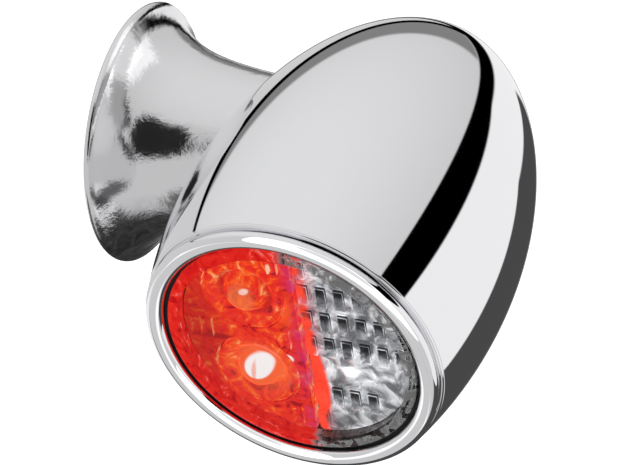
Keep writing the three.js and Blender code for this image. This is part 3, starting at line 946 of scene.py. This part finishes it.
BULB = 2.9 * MM
BULB_FRONT = 1.5 * MM
bulb_front = arc((0, BULB_FRONT + BULB), BULB, -90, -20, 20)
collimator_outline = (
    bulb_front
    + [(3.2 * MM, 3.7 * MM), (3.6 * MM, 3.3 * MM), (4.4 * MM, 2.75 * MM), (5.0 * MM, 2.7 * MM)]
    + [(DOME_RADIUS, 2.9 * MM), (DOME_RADIUS, 4.2 * MM), (2.7 * MM, 9.0 * MM), (1.9 * MM, 9.0 * MM)]
    + [(1.7 * MM, 7.4 * MM), (0, 7.0 * MM)]
)

# The same red light in the domes, with painted light on it: the lower one has a painted orange glow and a
# wide white painted highlight with a streak in it, and the upper one a painted glow and a small painted
# glint inside a ring of painted shade round its bulb.
dome_red, tree, coordinates, facet, colour = red_light("clear acrylic lit red, domed", 0.02, 0.35)
lower_glow = spot(tree, coordinates, DOME_X + 0.6 * MM, -5.6 * MM, 3.6 * MM, 3.6 * MM, 0.5)
colour = lay_patch(tree, colour, lower_glow, linear("#FF6A38"))
painted_highlight = spot(tree, coordinates, DOME_X + 0.55 * MM, -4.95 * MM, 1.75 * MM, 1.4 * MM, 0.12)
streak = spot(tree, coordinates, DOME_X + 0.1 * MM, -5.3 * MM, 0.3 * MM, 1.1 * MM, 0.4)
streak = maths(tree, "MULTIPLY", streak, 0.55)
painted_highlight = maths(tree, "SUBTRACT", painted_highlight, streak, use_clamp=True)
colour = lay_patch(tree, colour, painted_highlight, WHITE_HOT)
glint = spot(tree, coordinates, DOME_X + 0.6 * MM, 7.6 * MM, 0.55 * MM, 0.32 * MM, 0.3)
colour = lay_patch(tree, colour, glint, WHITE_HOT)
upper_glow = spot(tree, coordinates, DOME_X, 6.2 * MM, 1.7 * MM, 2.1 * MM, 0.3)
upper_glow = maths(tree, "MULTIPLY", upper_glow, 0.5)
colour = lay_patch(tree, colour, upper_glow, linear("#FF8A4A"))
shade_ring_outer = spot(tree, coordinates, DOME_X, 6.5 * MM, 3.5 * MM, 3.7 * MM, 0.06)
shade_ring_inner = spot(tree, coordinates, DOME_X, 6.5 * MM, 2.8 * MM, 3.0 * MM, 0.12)
painted_shade_ring = maths(tree, "SUBTRACT", shade_ring_outer, shade_ring_inner, use_clamp=True)
painted_shade_ring = maths(tree, "MULTIPLY", painted_shade_ring, 0.65)
colour = lay_patch(tree, colour, painted_shade_ring, linear("#B4181A"))
smooth = add_node(
    tree,
    "ShaderNodeBump",
    {"Height": facet.outputs["Distance"], "Strength": 0.08, "Distance": 0.3 * MM},
)
close_red(tree, colour, smooth)
for name, side in (("collimator_upper", 1), ("collimator_lower", -1)):
    collimator = head_spin(name + "_dome", collimator_outline, 128, DOME_X, side * DOME_Z)
    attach(collimator, "root")
    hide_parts(name)
    collimator.data.materials.append(dome_red)

# ---------------------------------------------------------------------------------------------
# Signal optic: the other half, a plate of clear acrylic moulded with rows of small pockets that
# spread the signal LEDs' light. One row is left plain, where the light gathers.

signal_plate = half_disc("signal_optic_plate", PLATE_FRONT, PLATE_BACK, SPLIT_X + SEAM_GAP, 1)
FIRST_COLUMN = 1.0 * MM
PLAIN_ROW = 2
stand_prisms(signal_plate, range(COLUMNS), FIRST_COLUMN, PLAIN_ROW)
bpy.data.objects.remove(prism, do_unlink=True)
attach(signal_plate, "root")
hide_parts("signal_optic")

# Clear acrylic with the bright reflector close behind it: it mirrors like thin glass over metal. Most of
# its brightness is painted: a painted glow of the reflector, a painted pink cast and painted red light
# spilling over from the tail half, and a painted white blaze where the light gathers.
silvered, tree = material("clear acrylic over a metallised reflector")
coordinates = add_node(tree, "ShaderNodeTexCoord").outputs["Object"]
parts = add_node(tree, "ShaderNodeSeparateXYZ", {"Vector": coordinates})
RIPPLE_SIZE = 2.2 * MM
ripple = add_node(
    tree,
    "ShaderNodeTexNoise",
    {"Vector": coordinates, "Scale": 1 / RIPPLE_SIZE, "Detail": 3.0, "Distortion": 0.8},
).outputs["Fac"]
painted_pink_cast = add_node(
    tree,
    "ShaderNodeMapRange",
    {"Value": parts.outputs["X"], "From Min": split_x + 3.0 * MM, "From Max": split_x},
    interpolation_type="SMOOTHSTEP",
).outputs["Result"]
spill_noise = add_node(
    tree, "ShaderNodeTexNoise", {"Vector": coordinates, "Scale": 1 / (2.0 * MM), "Detail": 3.0}
).outputs["Fac"]
painted_red_spill = maths(tree, "MULTIPLY", painted_pink_cast, spill_noise)
bulge = spot(tree, coordinates, SPLIT_X - 0.2 * MM, -7.0 * MM, 2.4 * MM, 6.0 * MM, 0.45)
bulge = maths(tree, "MULTIPLY_ADD", bulge, 0.45, painted_red_spill)
painted_red_spill = add_node(
    tree, "ShaderNodeMapRange", {"Value": bulge, "From Min": 0.24, "From Max": 0.5}
).outputs["Result"]
shaded = add_node(
    tree, "ShaderNodeMapRange", {"Value": ripple, "From Min": 0.6, "From Max": 0.4}
).outputs["Result"]
tint = lay_patch(tree, linear("#DADCDF"), shaded, linear("#94969A"))
tint = lay_patch(tree, tint, painted_pink_cast, linear("#E59AA6"))
tint = lay_patch(tree, tint, painted_red_spill, linear("#6A0A0E"))
waves = add_node(
    tree, "ShaderNodeBump", {"Height": ripple, "Strength": 0.7, "Distance": 0.9 * MM}
)

# Painted shade in the pockets: each pocket's upper end looks down into the dark lamp and is painted
# darkest, and its lower end lets the reflector through.
row_place = maths(tree, "MULTIPLY_ADD", parts.outputs["Z"], 1 / PITCH_Z, ROWS / 2)
row_share = maths(tree, "FRACT", row_place)
upper_end = add_node(
    tree,
    "ShaderNodeMapRange",
    {"Value": row_share, "From Min": 0.15, "From Max": 0.65, "To Min": 0.25, "To Max": 1.0},
    interpolation_type="SMOOTHSTEP",
).outputs["Result"]
height = maths(tree, "SUBTRACT", ring_y + PLATE_FRONT, parts.outputs["Y"])
above_plate = add_node(
    tree, "ShaderNodeMapRange", {"Value": height, "From Min": 0.02 * MM, "From Max": 0.09 * MM}
).outputs["Result"]
below_rim = add_node(
    tree, "ShaderNodeMapRange", {"Value": height, "From Min": 0.48 * MM, "From Max": 0.3 * MM}
).outputs["Result"]
painted_pocket_shade = maths(tree, "MULTIPLY", above_plate, below_rim)
painted_pocket_shade = maths(tree, "MULTIPLY", painted_pocket_shade, upper_end)
tint = lay_patch(tree, tint, painted_pocket_shade, linear("#26272A"))
# Painted light: the plate glows as if lit, brightest in the painted blaze and the painted red spill.
painted_reflector_glow = add_node(
    tree,
    "ShaderNodeMapRange",
    {"Value": ripple, "From Min": 0.38, "From Max": 0.64, "To Min": 0.3, "To Max": 0.8},
).outputs["Result"]
painted_blaze = spot(tree, coordinates, 6.6 * MM, -3.7 * MM, 3.8 * MM, 1.3 * MM, 0.8)
painted_blaze_core = spot(tree, coordinates, 6.6 * MM, -3.8 * MM, 1.2 * MM, 0.8 * MM, 0.5)
level = painted_reflector_glow
for patch, strength in ((painted_blaze, 0.55), (painted_blaze_core, 1.0), (painted_red_spill, 0.7)):
    level = maths(tree, "MULTIPLY_ADD", patch, strength, level)
painted_shine_colour = lay_patch(tree, tint, painted_red_spill, linear("#F0402A"))
finish(
    tree,
    {
        "Base Color": tint,
        "Metallic": 0.9,
        "Roughness": 0.1,
        "Emission Color": painted_shine_colour,
        "Emission Strength": level,
        "Normal": waves.outputs["Normal"],
    },
)
signal_plate.data.materials.append(silvered)

# ---------------------------------------------------------------------------------------------
# Lamp carrier and divider: the moulding that holds the optics and the wall between the two
# chambers. Black ABS with a fine spark-eroded skin, pushed into the mouth of the housing.


def grained(name, dark, light, grain, relief, glossy, dull, metallic=0.0, drawn=(1, 1, 1)):
    """A finish whose colour, gloss and relief follow one grain, which drawn stretches into lines."""
    made, tree = material(name)
    coordinates = add_node(tree, "ShaderNodeTexCoord").outputs["Object"]
    placed = add_node(tree, "ShaderNodeMapping", {"Vector": coordinates, "Scale": drawn}).outputs[0]
    fine = add_node(
        tree, "ShaderNodeTexNoise", {"Vector": placed, "Scale": 1 / grain, "Detail": 4.0, "Roughness": 0.6}
    ).outputs["Fac"]
    broad = add_node(
        tree, "ShaderNodeTexNoise", {"Vector": placed, "Scale": 0.12 / grain, "Detail": 2.0}
    ).outputs["Fac"]
    depth = maths(tree, "MULTIPLY_ADD", fine, 0.5, broad)
    share = add_node(
        tree, "ShaderNodeMapRange", {"Value": depth, "From Min": 0.5, "From Max": 1.0}
    ).outputs["Result"]
    colour = lay_patch(tree, linear(dark), share, linear(light))
    gloss = add_node(
        tree, "ShaderNodeMapRange", {"Value": share, "To Min": glossy, "To Max": dull}
    ).outputs["Result"]
    skin = add_node(tree, "ShaderNodeBump", {"Height": fine, "Strength": 0.6, "Distance": relief})
    shader = finish(
        tree,
        {"Base Color": colour, "Metallic": metallic, "Roughness": gloss, "Normal": skin.outputs["Normal"]},
    )
    return made, tree, shader, coordinates, colour


def dress(made, *nodes):
    """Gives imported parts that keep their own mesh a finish."""
    for node in nodes:
        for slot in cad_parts[node].material_slots:
            slot.material = made


carrier_plastic = grained("black moulded ABS", "#141416", "#242427", 0.12 * MM, 0.02 * MM, 0.45, 0.62)[0]
dress(carrier_plastic, "lamp_carrier", "chamber_divider")

# ---------------------------------------------------------------------------------------------
# Rubber parts: the gaskets behind the lens and foot, the seal at the stem and the cable grommet.
# Moulded black EPDM, dull, with a bloom that greys it unevenly.

rubber = grained("moulded black EPDM rubber", "#0E0E0F", "#2A2A2B", 0.35 * MM, 0.03 * MM, 0.6, 0.85)[0]
dress(rubber, "lens_gasket", "foot_gasket", "stem_seal", "cable_grommet")

# ---------------------------------------------------------------------------------------------
# Reflector: one ABS moulding with two bowls, lacquered and metallised in a vacuum. Bright, with the
# slight orange peel of the lacquer.

metallised = grained(
    "vacuum-metallised ABS", "#C9CACD", "#F0F0F2", 0.9 * MM, 0.02 * MM, 0.06, 0.16, metallic=1.0
)[0]
dress(metallised, "reflector")

# ---------------------------------------------------------------------------------------------
# Circuit boards: the round LED board under white solder mask, and the driver board behind it under
# green. Glass cloth shows through the mask as a weave, and copper tracks as paler bands.

# A wave pattern turns through this many radians over a length of one. Scaled by it and the real
# spacing, lines come out about six times as coarse as the real ones, so that they show.
WAVE_RADIANS = 20


def circuit_board(name, mask, over_track, weave, track):
    """Solder mask in one colour, paler where a copper track of this width lies under it."""
    made, tree, shader, coordinates, colour = grained(name, mask, mask, 0.2 * MM, 0.005 * MM, 0.25, 0.4)
    flat = add_node(tree, "ShaderNodeMapping", {"Vector": coordinates, "Rotation": (math.pi / 2, 0, 0)})
    tracks = add_node(
        tree,
        "ShaderNodeTexBrick",
        {
            "Vector": flat.outputs[0],
            "Scale": 1.0,
            "Brick Width": 4 * track,
            "Row Height": 2 * track,
            "Mortar Size": 0.35 * track,
            "Mortar Smooth": 0.2,
        },
    ).outputs["Fac"]
    threads = add_node(
        tree,
        "ShaderNodeTexWave",
        {"Vector": coordinates, "Scale": 1 / weave / WAVE_RADIANS},
        bands_direction="DIAGONAL",
    ).outputs["Fac"]
    relief = maths(tree, "MULTIPLY_ADD", tracks, 3.0, threads)
    raised = add_node(tree, "ShaderNodeBump", {"Height": relief, "Strength": 0.5, "Distance": 0.02 * MM})
    tree.links.new(raised.outputs["Normal"], shader.inputs["Normal"])
    tree.links.new(lay_patch(tree, colour, tracks, linear(over_track)), shader.inputs["Base Color"])
    return made


white_board = circuit_board(
    "white solder mask on glass epoxy", "#E9EAE6", "#D9D6C6", weave=0.5 * MM, track=0.8 * MM
)
dress(white_board, "led_board")
green_board = circuit_board(
    "green solder mask on glass epoxy", "#0F5A34", "#2E8A55", weave=0.5 * MM, track=0.6 * MM
)
dress(green_board, "driver_board")

# ---------------------------------------------------------------------------------------------
# LEDs: two red ones for the tail and two with a yellow phosphor for the signal. Silicone over the chip,
# soldered to the board.

red_silicone, tree, shader, coordinates, colour = grained(
    "red-tinted silicone", "#C4141A", "#F04A38", 0.4 * MM, 0.01 * MM, 0.2, 0.35
)
shader.inputs["Emission Color"].default_value = linear("#FF3020")
shader.inputs["Emission Strength"].default_value = 0.8
dress(red_silicone, "tail_led_upper", "tail_led_lower")
phosphor = grained("silicone with yellow phosphor", "#D9B23A", "#F2DC7A", 0.15 * MM, 0.01 * MM, 0.3, 0.5)[0]
dress(phosphor, "signal_led_upper", "signal_led_lower")

# ---------------------------------------------------------------------------------------------
# Heat sink: turned from aluminium bar and left bare, so the tool's fine rings cross it.

bare_aluminium, tree, shader, coordinates, colour = grained(
    "turned bare aluminium", "#A9ABAE", "#D0D2D5", 0.5 * MM, 0.01 * MM, 0.24, 0.4, metallic=1.0
)
centred = add_node(
    tree, "ShaderNodeMapping", {"Vector": coordinates, "Location": (-head_x, 0, 0)}
).outputs[0]
TOOL_FEED = 0.3 * MM
rings = add_node(
    tree,
    "ShaderNodeTexWave",
    {"Vector": centred, "Scale": 1 / TOOL_FEED / WAVE_RADIANS},
    wave_type="RINGS",
    rings_direction="Y",
).outputs["Fac"]
turned = add_node(tree, "ShaderNodeBump", {"Height": rings, "Strength": 0.4, "Distance": 0.02 * MM})
tree.links.new(turned.outputs["Normal"], shader.inputs["Normal"])
dress(bare_aluminium, "heat_sink")

# ---------------------------------------------------------------------------------------------
# Steel hardware: the screws, the washer and the tube that clamps the housing to the foot. Zinc
# plated and blue passivated, so the grey shifts in soft patches.

zinc_steel = grained(
    "blue-passivated zinc on steel", "#8C9299", "#C8CDD2", 0.25 * MM, 0.01 * MM, 0.25, 0.42, metallic=1.0
)[0]
dress(zinc_steel, "clamp_tube", "clamp_washer", "sink_screw_upper", "sink_screw_lower")
dress(zinc_steel, "spacer_screw_left", "spacer_screw_right")

# ---------------------------------------------------------------------------------------------
# Brass: the threaded insert in the foot and the two spacers behind the LED board. Turned from bar,
# with fine lines round it and a start of tarnish.

brass = grained(
    "turned brass", "#A07A34", "#D9B566", 0.2 * MM, 0.01 * MM, 0.2, 0.4, metallic=1.0, drawn=(6, 1, 1)
)[0]
dress(brass, "mount_insert")
spacer_brass = grained(
    "turned brass rod", "#A8833C", "#DDBB70", 0.2 * MM, 0.01 * MM, 0.2, 0.36, metallic=1.0, drawn=(1, 6, 1)
)[0]
dress(spacer_brass, "board_spacer_left", "board_spacer_right")

# ---------------------------------------------------------------------------------------------
# Driver components, soldered to the green board: a chip and a diode in black epoxy, an aluminium
# capacitor can, a ferrite coil wound with enamelled copper, and a green terminal block.

epoxy = grained("black epoxy moulding compound", "#1B1B1D", "#313134", 0.08 * MM, 0.01 * MM, 0.55, 0.72)[0]
dress(epoxy, "driver_chip", "surge_diode")
can = grained(
    "drawn aluminium", "#A8AAAD", "#D6D8DA", 0.3 * MM, 0.01 * MM, 0.22, 0.36, metallic=1.0, drawn=(1, 5, 1)
)[0]
dress(can, "input_capacitor")
winding, tree, shader, coordinates, colour = grained(
    "enamelled copper on ferrite", "#7A3414", "#C0682E", 0.3 * MM, 0.01 * MM, 0.2, 0.35, metallic=0.8
)
WIRE = 0.45 * MM
turns = add_node(
    tree,
    "ShaderNodeTexWave",
    {"Vector": coordinates, "Scale": 1 / WIRE / WAVE_RADIANS},
    bands_direction="Y",
).outputs["Fac"]
wound = add_node(tree, "ShaderNodeBump", {"Height": turns, "Strength": 0.8, "Distance": 0.15 * MM})
tree.links.new(wound.outputs["Normal"], shader.inputs["Normal"])
tree.links.new(lay_patch(tree, linear("#3A1A0C"), turns, linear("#C0682E")), shader.inputs["Base Color"])
dress(winding, "filter_coil")
polyamide = grained("green moulded polyamide", "#1E6B3C", "#2F8A52", 0.15 * MM, 0.02 * MM, 0.4, 0.55)[0]
dress(polyamide, "terminal_block")
